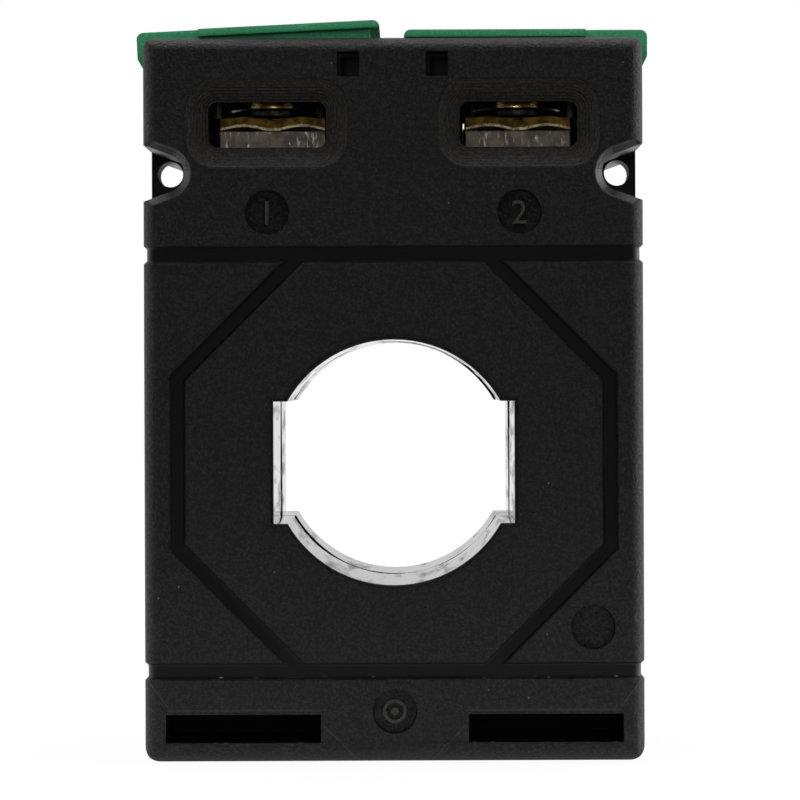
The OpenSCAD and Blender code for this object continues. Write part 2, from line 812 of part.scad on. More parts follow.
// Toroidal winding; its turns show as ridges along the bore and the outside
module secondary_winding() {
    g = layer_gap + wrap_t + layer_gap;
    wire_r = wire_d / 2;
    ro = core_ro + g + wire_r;
    ri = core_ri - g - wire_r;
    color([0.72, 0.42, 0.22])
        difference() {
            translate([0, 0, window_z])
                along_y(-core_half - g - wire_d, core_half + g + wire_d)
                    difference() {
                        union() {
                            circle(ro);
                            for (i = [1 : turns]) rotate(360 * i / turns) translate([ro, 0]) circle(wire_r);
                        }
                        difference() {
                            circle(ri);
                            for (i = [1 : turns]) rotate(360 * i / turns) translate([ri, 0]) circle(wire_r);
                        }
                    }
            ring(core_ri - g, core_ro + g, core_half + g);
        }
}

module winding_tape() {
    color([0.85, 0.75, 0.3]) layer(3 * layer_gap + wrap_t + wire_d, tape_t);
}

// Foam pad between the taped ring and the front wall
module core_pad() {
    y = cavity_half - pad_t;
    translate([0, 0, window_z])
        along_y(-cavity_half, -y)
            difference() {
                circle(core_ro + layers);
                circle(core_ri - layers);
            }
}

// Straight piece of a round lead between two points of the X-Z plane
module lead_run(from, to) {
    d = to - from;
    translate([from[0], 0, from[1]])
        rotate([0, atan2(d[0], d[1]), 0]) cylinder(h = norm(d), r = lead_d / 2);
}

// Lead from the taped winding to the solder tail, drawn on the right-hand side
module lead() {
    start_r = core_ro + layers + layer_gap;
    bend_r = start_r + 1.6 * lead_d;
    dir = [sin(lead_angle), cos(lead_angle)];
    start = [0, window_z] + start_r * dir;
    bend = [0, window_z] + bend_r * dir;
    end = [terminal_x + tail_w / 2, floor_z - tail_l + lead_d / 2];
    translate([0, tail_t / 2 + layer_gap + lead_d / 2, 0]) {
        lead_run(start, bend);
        translate([bend[0], 0, bend[1]]) sphere(lead_d / 2);
        lead_run(bend, end);
    }
}

// ---------------------------------------------------------------- nodes

front_housing();
rear_housing();
left_cover();
right_cover();
at_terminal(-1, 0) terminal_bar();  // left_terminal_bar
at_terminal(1, 0) terminal_bar();  // right_terminal_bar
at_terminal(-1, -1) saddle();  // left_front_saddle
at_terminal(-1, 1) saddle();  // left_rear_saddle
at_terminal(1, -1) saddle();  // right_front_saddle
at_terminal(1, 1) saddle();  // right_rear_saddle
at_terminal(-1, -1) spring_washer();  // left_front_washer
at_terminal(-1, 1) spring_washer();  // left_rear_washer
at_terminal(1, -1) spring_washer();  // right_front_washer
at_terminal(1, 1) spring_washer();  // right_rear_washer
at_terminal(-1, -1) terminal_screw();  // left_front_screw
at_terminal(-1, 1) terminal_screw();  // left_rear_screw
at_terminal(1, -1) terminal_screw();  // right_front_screw
at_terminal(1, 1) terminal_screw();  // right_rear_screw
ring_core();
core_wrap();
secondary_winding();
winding_tape();
color("firebrick") mirror([1, 0, 0]) lead();  // left_lead
color("dimgray") lead();  // right_lead
color("gray") core_pad();  // front_core_pad
color("gray") mirror([0, 1, 0]) core_pad();  // rear_core_pad
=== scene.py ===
import math

import bmesh
import bpy
from mathutils import Matrix, Vector


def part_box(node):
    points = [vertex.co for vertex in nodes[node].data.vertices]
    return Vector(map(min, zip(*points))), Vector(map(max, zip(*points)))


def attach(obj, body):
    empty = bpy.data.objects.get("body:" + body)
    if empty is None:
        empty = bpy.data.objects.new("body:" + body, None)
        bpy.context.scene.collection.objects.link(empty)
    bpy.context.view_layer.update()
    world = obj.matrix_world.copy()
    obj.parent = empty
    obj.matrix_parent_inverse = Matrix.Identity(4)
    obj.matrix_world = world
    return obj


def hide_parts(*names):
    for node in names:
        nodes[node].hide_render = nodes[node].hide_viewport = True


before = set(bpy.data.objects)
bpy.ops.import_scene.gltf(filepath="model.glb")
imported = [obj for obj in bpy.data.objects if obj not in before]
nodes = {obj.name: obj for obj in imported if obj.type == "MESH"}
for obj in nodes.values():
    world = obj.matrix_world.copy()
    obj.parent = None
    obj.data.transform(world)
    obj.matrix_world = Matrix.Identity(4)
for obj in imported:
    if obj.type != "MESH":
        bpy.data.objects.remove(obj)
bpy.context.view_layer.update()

MM = 0.001
SIDES = {"left": -1, "right": 1}
ENDS = {"front": -1, "rear": 1}

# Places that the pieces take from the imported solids
case_low, case_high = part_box("front_housing")
_, rear_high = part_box("rear_housing")
half_w = case_high.x
half_d = rear_high.y
top_z = case_high.z
seam_y = case_high.y
pad_low, pad_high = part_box("front_core_pad")
window_z = (pad_low.z + pad_high.z) / 2
bar_low, bar_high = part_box("right_terminal_bar")
terminal_x = (bar_low.x + bar_high.x) / 2
floor_z = bar_high.z - 2 * MM

# The housing's own sizes that the finishes and marks follow
FOOT_H = 0.2 * MM
EDGE_R = 1.25
WINDOW_R = 10.8
ENTRY_Z = floor_z + 2.4 * MM
ENTRY_HALF = (7.15, 3.95)
MARK_FLOOR_Y = 0.3 * MM - half_d
TERMINAL_MARK_Z = top_z - 15.4 * MM
PHASE_MARK_Z = FOOT_H + 4.45 * MM
APPROVAL_MARK = (17.45, 12.0)
MARK_R = 1.95
STAIR_PITCH = 0.11
LOWER_GROOVE_EDGE_Z = 7.55
SOCKET_EDGE_Z = 1.87


# ---------------------------------------------------------------- shader maths

class Wire:
    """A socket of a node tree, on which shader maths is written as Python."""

    def __init__(self, tree, socket=None):
        self.tree, self.socket = tree, socket

    def node(self, kind, settings=None, values=None, out=0):
        """Adds a node: its settings first, then the values or links of its sockets."""
        made = self.tree.nodes.new(kind)
        for key, value in (settings or {}).items():
            setattr(made, key, value)
        for key, value in (values or {}).items():
            if isinstance(value, Wire):
                self.tree.links.new(value.socket, made.inputs[key])
            else:
                made.inputs[key].default_value = value
        return Wire(self.tree, made.outputs[out])

    def math(self, operation, *values, clamp=False):
        settings = {"operation": operation, "use_clamp": clamp}
        return self.node("ShaderNodeMath", settings, dict(enumerate(values)))

    def vector(self, operation, *values, out=0):
        return self.node("ShaderNodeVectorMath", {"operation": operation}, dict(enumerate(values)), out)

    def __add__(self, other):
        return self.math("ADD", self, other)

    def __radd__(self, other):
        return self.math("ADD", other, self)

    def __sub__(self, other):
        return self.math("SUBTRACT", self, other)

    def __rsub__(self, other):
        return self.math("SUBTRACT", other, self)

    def __mul__(self, other):
        return self.math("MULTIPLY", self, other)

    def __rmul__(self, other):
        return self.math("MULTIPLY", other, self)

    def __truediv__(self, other):
        return self.math("DIVIDE", self, other)

    def __pow__(self, other):
        return self.math("POWER", self, other)

    def step(self, low, high):
        """Rises smoothly from 0 at low to 1 at high; low may be the larger."""
        values = {0: self, 1: min(low, high), 2: max(low, high), 3: float(low > high), 4: float(low < high)}
        return self.node("ShaderNodeMapRange", {"interpolation_type": "SMOOTHSTEP"}, values)

    def mix(self, a, b):
        """Colour a where this is 0, and b where it is 1."""
        first, second = (c if isinstance(c, Wire) else (*c, 1) for c in (a, b))
        return self.node("ShaderNodeMix", {"data_type": "RGBA"}, {0: self, 6: first, 7: second}, 2)

    def axis(self, n):
        """One coordinate of a vector."""
        return self.node("ShaderNodeSeparateXYZ", None, {0: self}, n)


def srgb(*values):
    """A linear colour from its 8-bit display values."""
    return tuple((v / 255 / 12.92) if v <= 10 else ((v / 255 + 0.055) / 1.055) ** 2.4 for v in values)


class Finish:
    """A material with one Principled shader."""

    def __init__(self, name, **fixed):
        self.material = bpy.data.materials.new(name)
        self.material.use_nodes = True
        tree = self.material.node_tree
        self.shader = tree.nodes["Principled BSDF"]
        self.wire = Wire(tree)
        self.place = self.wire.node("ShaderNodeTexCoord", out=3)
        for key, value in fixed.items():
            self.put(key.replace("_", " "), value)

    def put(self, socket, value):
        if isinstance(value, Wire):
            self.wire.tree.links.new(value.socket, self.shader.inputs[socket])
        else:
            self.shader.inputs[socket].default_value = value

    def spot(self, stretch):
        """The place on the object, squeezed along its axes where a pattern is to be stretched."""
        return self.wire.vector("MULTIPLY", self.place, stretch) if stretch else self.place

    def noise(self, size, detail=2.0, roughness=0.5, stretch=None):
        """Noise from 0 to 1 with blotches of about this size in millimetres."""
        values = {"Vector": self.spot(stretch), "Scale": 1 / (size * MM), "Detail": detail,
                  "Roughness": roughness}
        return self.wire.node("ShaderNodeTexNoise", None, values)

    def cells(self, size, out="Distance", stretch=None):
        """Voronoi cells of about this size in millimetres."""
        values = {"Vector": self.spot(stretch), "Scale": 1 / (size * MM)}
        return self.wire.node("ShaderNodeTexVoronoi", None, values, out)

    def rounded(self, radius):
        """Normals that round every edge by a radius in millimetres."""
        return self.wire.node("ShaderNodeBevel", {"samples": 4}, {"Radius": radius * MM})

    def bump(self, height, depth, normal=None):
        """Bumps of a depth in millimetres."""
        values = {"Height": height, "Distance": depth * MM, "Strength": 1.0}
        if normal:
            values["Normal"] = normal
        return self.wire.node("ShaderNodeBump", None, values)


# ---------------------------------------------------------------- finishes

def distance(x, z, x0, z0, x1, z1):
    """Distance from a point to a straight stroke between two points, all in millimetres."""
    dx, dz = x1 - x0, z1 - z0
    share = x.math("MULTIPLY", (x - x0) * dx + (z - z0) * dz, 1 / (dx * dx + dz * dz), clamp=True)
    return ((x - x0 - share * dx) ** 2.0 + (z - z0 - share * dz) ** 2.0) ** 0.5


def moulded_black():
    """Black filled plastic: spark-eroded grain on the outer faces, smooth in all that is sunk."""
    f = Finish("moulded_black", IOR=1.42)
    x, y, z = (f.place.axis(n) / MM for n in range(3))
    side_x = f.wire.math("ABSOLUTE", x)
    side_y = f.wire.math("ABSOLUTE", y)

    # Depth below the rounded box that the housing fills
    middle_z = (top_z + FOOT_H) / 2 / MM
    core = (half_w / MM - EDGE_R, half_d / MM - EDGE_R, (top_z - FOOT_H) / 2 / MM - EDGE_R)
    spot = f.wire.node("ShaderNodeCombineXYZ", None, {0: x, 1: y, 2: z - middle_z})
    past_core = f.wire.vector("SUBTRACT", f.wire.vector("ABSOLUTE", spot), core)
    past_core = f.wire.vector("MAXIMUM", past_core, (0, 0, 0))
    sunk = EDGE_R - f.wire.vector("LENGTH", past_core, out=1)

    # Where each kind of surface is
    outer = sunk.step(0.22, 0.1)
    near_face = y.step(-14.0, -14.2)
    from_axis = (x * x + (z - window_z / MM) ** 2.0) ** 0.5
    bore = from_axis.step(WINDOW_R + 1.6, WINDOW_R + 1.2) * sunk.step(0.45, 1.1)
    beside_entry = f.wire.math("ABSOLUTE", side_x - terminal_x / MM)
    above_entry = f.wire.math("ABSOLUTE", z - ENTRY_Z / MM)
    funnel = beside_entry.step(ENTRY_HALF[0] + 0.1, ENTRY_HALF[0])
    funnel = funnel * above_entry.step(ENTRY_HALF[1] + 0.1, ENTRY_HALF[1])
    funnel = funnel * side_y.step(half_d / MM - 2.1, half_d / MM - 2.0) * sunk.step(0.03, 0.12)
    stairs = f.wire.math("PINGPONG", y, STAIR_PITCH) / STAIR_PITCH
    chamber = sunk.step(2.1, 2.4) * z.step(floor_z / MM - 0.1, floor_z / MM)
    marks = [(side_x - terminal_x / MM, z - TERMINAL_MARK_Z / MM), (x, z - PHASE_MARK_Z / MM),
             (x - APPROVAL_MARK[0], z - APPROVAL_MARK[1])]
    discs = sum(((dx * dx + dz * dz) ** 0.5).step(MARK_R, MARK_R - 0.07) for dx, dz in marks) * near_face
    rough_skin = f.wire.math("MAXIMUM", f.wire.math("MAXIMUM", outer, discs * 0.9), funnel * 0.8)

    # Colour: mottled grain, painted glints on its tips, light specks, witness lines of the mould, chipped
    # groove edges, a painted highlight along the socket edge, and funnels lightened as painted light
    grain = f.noise(0.3, 4.0, 0.75)
    blotch = f.noise(4.0, 3.0)
    mottle = f.noise(0.26, 2.0, 0.7).step(0.42, 0.66)
    base = (mottle * rough_skin).mix(srgb(7, 7, 7), srgb(38, 37, 36))
    base = (blotch.step(0.3, 0.8) * 0.25).mix(base, srgb(20, 20, 19))
    # Painted light: the entry funnels are lightened as if the top light fell on their slanted faces.
    base = (funnel * (0.3 + mottle * 0.5)).mix(base, srgb(76, 73, 70))
    # Painted highlights: light dots on the grain tips stand in for glints of the lamps.
    painted_glint = f.noise(0.2, 3.0, 0.8).step(0.6, 0.7) * rough_skin
    base = (painted_glint * (0.3 + blotch * 0.6)).mix(base, srgb(92, 90, 88))
    # Light specks scattered over the outer faces.
    speck = f.cells(1.7).step(0.06, 0.03) * f.cells(1.7, "Color").axis(0).step(0.72, 0.78) * outer
    base = (speck * 0.6).mix(base, srgb(150, 148, 140))
    witness = (distance(side_x, z, 21.6, 7.4, 19.9, 5.1).step(0.12, 0.04)
               + distance(side_x, z, 19.9, 4.75, 6.5, 4.75).step(0.1, 0.04)
               + distance(side_x, z, 6.2, 3.4, 3.4, 0.6).step(0.12, 0.04)) * near_face
    base = (witness * 0.25).mix(base, srgb(74, 72, 70))
    # Light chips along the lower groove's edge, and a painted highlight along the socket's lower edge, both
    # broken into spots.
    along_socket = side_x.step(6.4, 6.6) * side_x.step(20.2, 20.0)
    socket_edge_highlight = f.wire.math("ABSOLUTE", z - SOCKET_EDGE_Z).step(0.12, 0.03) * along_socket
    groove_edge = f.wire.math("ABSOLUTE", z - LOWER_GROOVE_EDGE_Z).step(0.22, 0.08)
    chipped_and_lit_edges = (groove_edge + socket_edge_highlight) * near_face
    flat = (1, 1, 3)
    chips_and_highlight_spots = f.cells(0.8, stretch=flat).step(0.3, 0.15) * f.cells(0.8, "Color", flat).axis(1).step(0.6, 0.66)
    f.put("Base Color", (chipped_and_lit_edges * chips_and_highlight_spots * 0.55).mix(base, srgb(170, 168, 160)))

    # Gloss, and the height of the grain
    fine = f.noise(0.06, 2.0)
    streaks = f.noise(1.6, 3.0, stretch=(1, 0.12, 1))
    shine = rough_skin * 0.06 + 0.38 + blotch * 0.06 + chamber * (1 - bore) * 0.4
    f.put("Roughness", shine * (1 - bore) + bore * (0.03 + streaks.step(0.42, 0.75) * 0.3))
    height = witness * 0.35 + grain * rough_skin * (1 - bore) + fine * 0.1 * (1 - bore)
    f.put("Normal", f.bump(height + stairs * funnel * 0.35, 0.24, f.rounded(0.18)))
    return f.material


def moulded_green():
    """Green plastic of the covers, with a fine grain, light specks, and edges rounded in the shading."""
    f = Finish("moulded_green")
    blotch = f.noise(1.6, 3.0)
    grain = f.noise(0.22, 3.0, 0.7)
    speck = f.cells(1.1).step(0.07, 0.03) * f.cells(1.1, "Color").axis(0).step(0.8, 0.85)
    base = blotch.step(0.3, 0.75).mix(srgb(48, 160, 106), srgb(56, 172, 116))
    base = (grain.step(0.45, 0.7) * 0.45).mix(base, srgb(104, 206, 154))
    dark_grain = f.noise(0.22, 3.0, 0.7, (1, 1.3, 0.9))
    base = (dark_grain.step(0.52, 0.66) * 0.35).mix(base, srgb(30, 118, 74))
    f.put("Base Color", (speck * 0.4).mix(base, srgb(150, 200, 170)))
    f.put("Roughness", 0.42 + grain * 0.15)
    f.put("Normal", f.bump(grain, 0.05, f.rounded(0.35)))
    return f.material


def dull_nickel():
    """Cut and tumbled bar: brownish grey with bright upright scuffs."""
    f = Finish("dull_nickel", Metallic=1.0)
    scuff = f.noise(0.5, 5.0, 0.65, stretch=(1.6, 1, 0.5))
    blotch = f.noise(1.4, 3.0)
    base = blotch.step(0.35, 0.65).mix(srgb(160, 146, 138), srgb(206, 190, 178))
    f.put("Base Color", scuff.step(0.52, 0.68).mix(base, srgb(222, 214, 204)))
    f.put("Roughness", 0.55 - scuff.step(0.5, 0.7) * 0.25)
    f.put("Normal", f.bump(scuff + f.noise(0.12, 3.0) * 0.5, 0.03, f.rounded(0.1)))
    return f.material


def passivated_steel(name, dark, light, rough):
    """Zinc-plated steel with the uneven yellow of its passivation."""
    f = Finish(name, Metallic=1.0)
    blotch = f.noise(0.9, 4.0, 0.6)
    patch = f.noise(2.2, 2.0)
    base = blotch.step(0.35, 0.7).mix(dark, light)
    f.put("Base Color", (patch.step(0.45, 0.7) * 0.5).mix(base, srgb(150, 112, 70)))
    f.put("Roughness", rough + blotch * 0.2)
    f.put("Normal", f.bump(f.noise(0.1, 3.0) + blotch, 0.012, f.rounded(0.1)))
    return f.material


def saddle_steel(name, centre_x):
    """Saddle stamped from yellow steel: dark faces, and the sheared lip along its lower edge, painted near
    white and less metallic as a highlight.
    """
    f = Finish(name)
    x, y, z = (f.place.axis(n) / MM for n in range(3))
    half, crease = 4.65, 0.55
    aside = f.wire.math("ABSOLUTE", x - centre_x / MM) - crease
    aside = f.wire.math("MAXIMUM", aside, 0.0) / (half - crease)
    underside = f.wire.math("SINE", aside * math.pi) * 0.35 + bar_high.z / MM + 0.05
    wander = (f.noise(0.5, 3.0) - 0.5) * 0.22
    sheared_lip_and_highlight = (z - underside + wander).step(0.27, 0.16) * f.noise(0.45, 3.0, 0.7).step(0.25, 0.6)
    blotch = f.noise(0.8, 4.0, 0.6)
    face = blotch.step(0.35, 0.7).mix(srgb(66, 50, 22), srgb(134, 104, 50))
    # The lip's near-white colour and lower metallic are a painted highlight along the sheared edge.
    f.put("Base Color", sheared_lip_and_highlight.mix(face, srgb(255, 240, 196)))
    f.put("Metallic", 1 - sheared_lip_and_highlight * 0.6)
    f.put("Roughness", 0.32 + sheared_lip_and_highlight * 0.25 + blotch * 0.1)
    f.put("Normal", f.bump(f.noise(0.1, 3.0) + blotch, 0.012, f.rounded(0.1)))
    return f.material


def plain_metal(name, dark, light, rough=0.3, blotch_size=0.6, depth=0.004):
    f = Finish(name, Metallic=1.0)
    blotch = f.noise(blotch_size, 4.0, 0.6)
    f.put("Base Color", blotch.step(0.35, 0.7).mix(dark, light))
    f.put("Roughness", rough + blotch * 0.25)
    f.put("Normal", f.bump(f.noise(0.08, 3.0), depth))
    return f.material


def plain_plastic(name, dark, light, rough=0.5, blotch_size=1.0):
    f = Finish(name)
    blotch = f.noise(blotch_size, 3.0)
    f.put("Base Color", blotch.step(0.3, 0.7).mix(dark, light))
    f.put("Roughness", rough + blotch * 0.1)
    f.put("Normal", f.bump(f.noise(0.1), 0.01))
    return f.material


black = moulded_black()
green = moulded_green()
bar_metal = dull_nickel()
screw_metal = passivated_steel("zinc_plated_screw", srgb(196, 168, 92), srgb(244, 222, 150), 0.12)
washer_metal = plain_metal("spring_steel", srgb(46, 43, 36), srgb(96, 90, 78), 0.24)
FINISHES = {
    "left_cover": green, "right_cover": green,
    "left_terminal_bar": bar_metal, "right_terminal_bar": bar_metal,
    "ring_core": plain_metal("wound_strip_steel", srgb(96, 96, 100), srgb(140, 140, 146), 0.35),
    "core_wrap": plain_plastic("wrap_card", srgb(168, 150, 110), srgb(196, 180, 140)),
    "secondary_winding": plain_metal("enamelled_copper", srgb(150, 70, 34), srgb(190, 104, 56), 0.25),
    "winding_tape": plain_plastic("winding_tape", srgb(190, 160, 60), srgb(210, 186, 90), 0.3),
    "left_lead": plain_plastic("red_insulation", srgb(130, 24, 22), srgb(158, 36, 30)),
    "right_lead": plain_plastic("grey_insulation", srgb(110, 112, 116), srgb(138, 140, 144)),
    "front_core_pad": plain_plastic("foam", srgb(60, 60, 62), srgb(84, 84, 86), 0.9),
}
FINISHES["rear_core_pad"] = FINISHES["front_core_pad"]
for side in SIDES:
    side_low, side_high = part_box(f"{side}_terminal_bar")
    saddle_metal = saddle_steel(f"{side}_saddle_steel", (side_low.x + side_high.x) / 2)
    for end in ENDS:
        FINISHES[f"{side}_{end}_saddle"] = saddle_metal
        FINISHES[f"{side}_{end}_washer"] = washer_metal
        FINISHES[f"{side}_{end}_screw"] = screw_metal


def paint(obj, material):
    if not obj.material_slots:
        obj.data.materials.append(material)
    for held in obj.material_slots:
        held.material = material


for name, material in FINISHES.items():
    paint(nodes[name], material)


# ---------------------------------------------------------------- pieces

def welded(node):
    """A copy of a CAD node's mesh with its loose triangles joined to whole faces."""
    bm = bmesh.new()
    bm.from_mesh(nodes[node].data)
    bmesh.ops.remove_doubles(bm, verts=bm.verts, dist=1e-6)
    bmesh.ops.dissolve_limit(bm, angle_limit=math.radians(0.5), verts=bm.verts, edges=bm.edges)
    return bm


def soften(bm, width, segments=2, angle=40):
    """Bevels the edges that are sharper than an angle."""
    sharp = [e for e in bm.edges if e.is_manifold and e.calc_face_angle() > math.radians(angle)]
    bmesh.ops.bevel(bm, geom=sharp, offset=width * MM, offset_type="OFFSET", affect="EDGES",
                    segments=segments, profile=0.5, material=-1, clamp_overlap=True)


def fill_openings(bm):
    rims = [e for e in bm.edges if e.is_boundary]
    bmesh.ops.holes_fill(bm, edges=rims, sides=0)
    bmesh.ops.recalc_face_normals(bm, faces=bm.faces)


def finished(bm, name, body, material, smooth=30, replaces=()):
    """The finished piece, which rides on a body."""
    mesh = bpy.data.meshes.new(name)
    bm.to_mesh(mesh)
    bm.free()
    mesh.shade_smooth()
    mesh.set_sharp_from_angle(angle=math.radians(smooth))
    mesh.materials.append(material)
    piece = bpy.data.objects.new(name, mesh)
    bpy.context.scene.collection.objects.link(piece)
    even = piece.modifiers.new("even_shading", "WEIGHTED_NORMAL")
    even.keep_sharp = True
    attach(piece, body)
    if replaces:
        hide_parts(*replaces)
    return piece


def swept(bm, profile, centre, turn, rise, steps):
    """Sweeps a profile of (radius, height) points round an upright axis, rising as it goes."""
    verts = [bm.verts.new(centre + Vector((r * MM, 0, h * MM))) for r, h in profile]
    edges = [bm.edges.new(pair) for pair in zip(verts, verts[1:])]
    bmesh.ops.spin(bm, geom=verts + edges, cent=centre, axis=(0, 0, 1), angle=turn,
                   dvec=(0, 0, rise * MM / steps), steps=steps, use_merge=False)


def make_screw(side, end):
    """A terminal screw: the slotted head, and a shank with its real thread."""
    pitch, core_r, crest_r = 0.7, 1.62, 1.98
    name = f"{side}_{end}_screw"
    low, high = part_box(name)
    centre = (low + high) / 2
    head_z = high.z - 2.6 * MM
    bm = welded(name)
    everything = bm.verts[:] + bm.edges[:] + bm.faces[:]
    bmesh.ops.bisect_plane(bm, geom=everything, plane_co=(0, 0, head_z + 0.02 * MM), plane_no=(0, 0, -1),
                           clear_outer=True)
    fill_openings(bm)
    thread = bmesh.new()
    turns = (head_z + 0.4 * MM - low.z) / MM / pitch - 1
    steps = round(turns * 28)
    profile = [(core_r, 0), (crest_r, pitch * 0.44), (crest_r, pitch * 0.56), (core_r, pitch)]
    swept(thread, profile, Vector((centre.x, centre.y, low.z)), turns * math.tau, turns * pitch, steps)
    bmesh.ops.remove_doubles(thread, verts=thread.verts, dist=2e-6)
    fill_openings(thread)
    spare = bpy.data.meshes.new("thread")
    thread.to_mesh(spare)
    thread.free()
    bm.from_mesh(spare)
    bpy.data.meshes.remove(spare)
    finished(bm, f"{name}_m4", name, screw_metal, 35, [name])


def make_washer(side, end):
    """A split spring washer: one turn of flat wire with a slanted gap."""
    name = f"{side}_{end}_washer"
    low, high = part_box(name)
    inner, outer, thick, rise, chamfer = 2.15, 3.7, 0.64, 0.05, 0.12
    section = [(inner, 0), (outer - chamfer, 0), (outer, chamfer), (outer, thick - chamfer),
               (outer - chamfer, thick), (inner, thick), (inner, 0)]
    bm = bmesh.new()
    centre = Vector(((low.x + high.x) / 2, (low.y + high.y) / 2, low.z))
    swept(bm, section, centre, math.radians(348), rise, 58)
    bmesh.ops.remove_doubles(bm, verts=bm.verts, dist=1e-6)
    fill_openings(bm)
    bmesh.ops.rotate(bm, verts=bm.verts, cent=centre, matrix=Matrix.Rotation(math.radians(131), 3, "Z"))
    finished(bm, f"{name}_split", f"{side}_{end}_clamp", washer_metal, 30, [name])


def make_numeral(text, x, z, height, name):
    """A raised plain numeral on the floor of a marking recess."""
    curve = bpy.data.curves.new(name, "FONT")
    curve.body = text
    curve.size = height / 0.7 * MM
    curve.extrude = 0.09 * MM
    curve.align_x = "CENTER"
    curve.resolution_u = 4
    held = bpy.data.objects.new(name, curve)
    bpy.context.scene.collection.objects.link(held)
    bpy.context.view_layer.update()
    bm = bmesh.new()
    bm.from_mesh(held.to_mesh())
    bpy.data.objects.remove(held)
    bmesh.ops.remove_doubles(bm, verts=bm.verts, dist=1e-6)
    bmesh.ops.recalc_face_normals(bm, faces=bm.faces)
    place = Matrix.Translation((x, MARK_FLOOR_Y - 0.07 * MM, z - height / 2 * MM))
    place = place @ Matrix.Rotation(math.pi / 2, 4, "X")
    bmesh.ops.transform(bm, matrix=place, verts=bm.verts)
    finished(bm, name, "housing", mark_black, 30, ())


def make_phase_mark():
    """A raised ring and dot, the plain sign for a current that comes out of the face."""
    bm = bmesh.new()
    high = 0.16
    for inner, outer in ((0.75, 1.05), (0.0, 0.34)):
        section = [(inner, 0), (outer, 0), (outer, high), (inner, high), (inner, 0)]
        swept(bm, section, Vector((0, 0, 0)), math.tau, 0, 40)
    bmesh.ops.remove_doubles(bm, verts=bm.verts, dist=2e-6)
    bmesh.ops.recalc_face_normals(bm, faces=bm.faces)
    place = Matrix.Translation((0, MARK_FLOOR_Y + 0.02 * MM, PHASE_MARK_Z))
    place = place @ Matrix.Rotation(math.pi / 2, 4, "X")
    bmesh.ops.transform(bm, matrix=place, verts=bm.verts)
    finished(bm, "phase_mark", "housing", mark_black, 30, ())


def make_bar_ribs(side):
    """Ribs that fill the play beside a terminal bar.

    A guess: the CAD has none at this place. They reach past 56.2 mm, into the space left
    open for wire ends. Below 2.3 rib_top they would stay clear of it.
    """
    sign, rib_t, rib_top, chamber_half = SIDES[side], 1.2, 3.95, 5.4
    low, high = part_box(f"{side}_terminal_bar")
    middle = sign * terminal_x
    for edge, way in ((low.x, -1), (high.x, 1)):
        wall = middle + way * chamber_half * MM
        inner, outer = sorted((edge + way * 0.04 * MM, wall + way * 0.05 * MM))
        bm = bmesh.new()
        bmesh.ops.create_cube(bm, size=1)
        bmesh.ops.scale(bm, verts=bm.verts, vec=(outer - inner, rib_t * MM, rib_top * MM))
        place = Vector(((inner + outer) / 2, 0, floor_z + (rib_top / 2 - 0.02) * MM))
        bmesh.ops.translate(bm, verts=bm.verts, vec=place)
        soften(bm, 0.1)
        place_name = "inner" if way * sign < 0 else "outer"
        finished(bm, f"{side}_bar_rib_{place_name}", "housing", black, 30, ())


def make_seam_flash():
    """Thin moulding flash that stands into the window at the seam, thicker to the right and left."""
    bm = welded("front_housing")
    axis = Vector((0, seam_y, window_z))
    rim = [e for e in bm.edges if all(abs(v.co.y - seam_y) < 1e-6 and (v.co - axis).length < 12.6 * MM
                                      for v in e.verts)]
    keep = {v for e in rim for v in e.verts}
    bmesh.ops.delete(bm, geom=bm.faces[:], context="FACES_ONLY")
    bmesh.ops.delete(bm, geom=[e for e in bm.edges if e not in set(rim)], context="EDGES")
    bmesh.ops.delete(bm, geom=[v for v in bm.verts if v not in keep], context="VERTS")
    made = bmesh.ops.extrude_edge_only(bm, edges=bm.edges[:])
    for v in [g for g in made["geom"] if isinstance(g, bmesh.types.BMVert)]:
        away = v.co - axis
        turn = math.atan2(away.z, away.x)
        ragged = 0.03 * math.sin(turn * 7) * math.sin(turn * 3 + 1)
        reach = 0.17 + 0.07 * math.cos(2 * turn - math.radians(40)) + ragged
        v.co -= away.normalized() * reach * MM
    bmesh.ops.recalc_face_normals(bm, faces=bm.faces)
    bmesh.ops.solidify(bm, geom=bm.faces[:], thickness=0.06 * MM)
    bmesh.ops.recalc_face_normals(bm, faces=bm.faces)
    finished(bm, "window_seam_flash", "housing", flash_black, 30, ())


for half in ("front", "rear"):
    shell = f"{half}_housing"
    finished(welded(shell), f"{half}_shell", "housing", black, 14, [shell])
for side in SIDES:
    finished(welded(f"{side}_cover"), f"{side}_lid", f"{side}_cover", green, 30, [f"{side}_cover"])
    bar = welded(f"{side}_terminal_bar")
    soften(bar, 0.12)
    finished(bar, f"{side}_bar", "housing", bar_metal, 30, [f"{side}_terminal_bar"])
    for end in ENDS:
        make_screw(side, end)
        make_washer(side, end)

mark_black = plain_plastic("raised_mark", srgb(40, 40, 38), srgb(56, 55, 52), 0.3, 0.4)
flash_black = plain_plastic("torn_flash", srgb(7, 7, 7), srgb(16, 16, 15), 0.8, 0.3)
make_seam_flash()
for side in SIDES:
    make_bar_ribs(side)
make_phase_mark()
make_numeral("1", -terminal_x, TERMINAL_MARK_Z, 2.1, "left_numeral")
make_numeral("2", terminal_x, TERMINAL_MARK_Z, 2.1, "right_numeral")


# ---------------------------------------------------------------- floor, light and camera

def area_light(name, place, aim, size, watts):
    lamp = bpy.data.lights.new(name, "AREA")
    lamp.shape = "RECTANGLE"
    lamp.size, lamp.size_y = size
    lamp.energy = watts
    held = bpy.data.objects.new(name, lamp)
    held.location = place
    held.rotation_euler = (Vector(aim) - Vector(place)).to_track_quat("-Z", "Y").to_euler()
    bpy.context.scene.collection.objects.link(held)


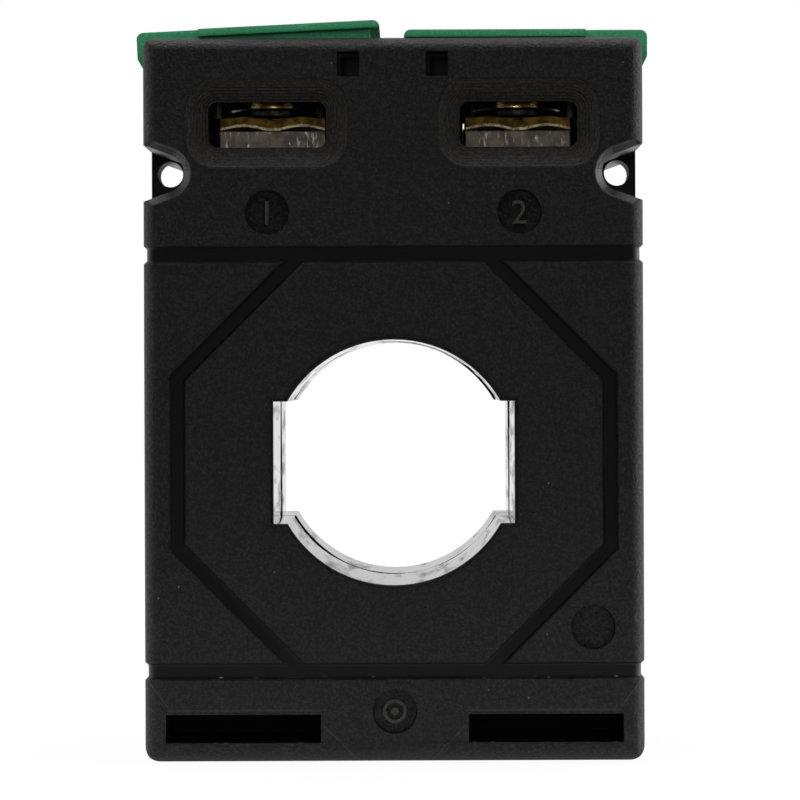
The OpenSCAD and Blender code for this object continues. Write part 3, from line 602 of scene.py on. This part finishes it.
def make_floor():
    """White floor, which the object sees as a small white sheet on a dark table."""
    bm = bmesh.new()
    bmesh.ops.create_grid(bm, x_segments=1, y_segments=1, size=6)
    mesh = bpy.data.meshes.new("floor")
    bm.to_mesh(mesh)
    bm.free()
    floor = bpy.data.objects.new("floor", mesh)
    material = bpy.data.materials.new("white_floor")
    material.use_nodes = True
    wire = Wire(material.node_tree)
    shader = material.node_tree.nodes["Principled BSDF"]
    shader.inputs["Roughness"].default_value = 0.9
    shader.inputs["Specular IOR Level"].default_value = 0.0
    path = wire.node("ShaderNodeLightPath").socket.node
    eye, glossy = (Wire(wire.tree, path.outputs[n]) for n in ("Is Camera Ray", "Is Glossy Ray"))
    ahead = wire.node("ShaderNodeTexCoord", out=3).axis(1)
    # A strip of floor just in front of the object glows for reflected rays only, a hidden light on the
    # bottom edges.
    near_glow = ahead.step(-0.026, -0.019) * ahead.step(-0.013, -0.015) * 0.7
    camera = wire.math("MAXIMUM", eye, glossy * wire.math("MAXIMUM", ahead.step(0.05, 0.15) * 0.8, near_glow))
    sheet = wire.math("MAXIMUM", ahead.step(-0.045, -0.02), camera)
    wire.tree.links.new(sheet.mix(srgb(40, 40, 40), srgb(240, 240, 240)).socket, shader.inputs["Base Color"])
    far = wire.vector("LENGTH", wire.node("ShaderNodeTexCoord", out=3), out=1).step(0.05, 0.15)
    lit = wire.node("ShaderNodeEmission", None, {"Strength": 1.0})
    seen = camera * (0.95 + far * 0.05)
    mixed = wire.node("ShaderNodeMixShader", None, {0: seen, 1: Wire(wire.tree, shader.outputs[0]), 2: lit})
    wire.tree.links.new(mixed.socket, material.node_tree.nodes["Material Output"].inputs[0])
    mesh.materials.append(material)
    bpy.context.scene.collection.objects.link(floor)


def make_world():
    """White all round for the eye and in reflections from behind, dim round the camera."""
    world = bpy.data.worlds.new("studio")
    world.use_nodes = True
    tree = world.node_tree
    wire = Wire(tree)
    path = wire.node("ShaderNodeLightPath").socket.node
    camera, glossy, through = (Wire(tree, path.outputs[n]) for n in
                               ("Is Camera Ray", "Is Glossy Ray", "Is Transmission Ray"))
    along = wire.node("ShaderNodeTexCoord").axis(1)
    behind = along.step(0.0, 0.4)
    round_camera = along.step(-0.75, -0.97)
    shine = 0.02 + round_camera * 0.05 + behind * 0.76
    seen = wire.math("MAXIMUM", camera, through)
    level = seen + (1 - seen) * (glossy * shine + (1 - glossy) * 0.7)
    tree.links.new(level.socket, tree.nodes["Background"].inputs["Strength"])
    tree.nodes["Background"].inputs["Color"].default_value = (1, 1, 1, 1)
    bpy.context.scene.world = world


def make_camera():
    lens = bpy.data.cameras.new("camera")
    lens.lens = 153.8
    lens.sensor_width = 36
    lens.shift_x = -0.0149
    lens.shift_y = -0.0273
    lens.clip_start = 0.01
    camera = bpy.data.objects.new("camera", lens)
    camera.location = (1.6 * MM, -315 * MM, 33.9 * MM)
    camera.rotation_euler = (math.radians(90), math.radians(0.215), 0)
    bpy.context.scene.collection.objects.link(camera)
    bpy.context.scene.camera = camera


bpy.context.scene.view_settings.view_transform = "Standard"
make_floor()
make_world()
make_camera()
area_light("top_light", (0.0, 0.05, 0.45), (0, -0.005, 0.06), (0.5, 0.35), 1.9)
area_light("right_light", (0.42, 0.12, 0.14), (0, 0, 0.03), (0.25, 0.3), 1.3)
area_light("left_light", (-0.42, 0.1, 0.14), (0, 0, 0.03), (0.25, 0.3), 0.3)

for sign in (-1, 1):
    area_light("cross_light", (sign * 0.5, -0.42, 0.1), (0, -0.01, 0.045), (0.2, 0.25), 0.13)
area_light("catch_light", (0.0, -0.34, 0.085), (0, 0, 0.05), (0.06, 0.02), 0.024)
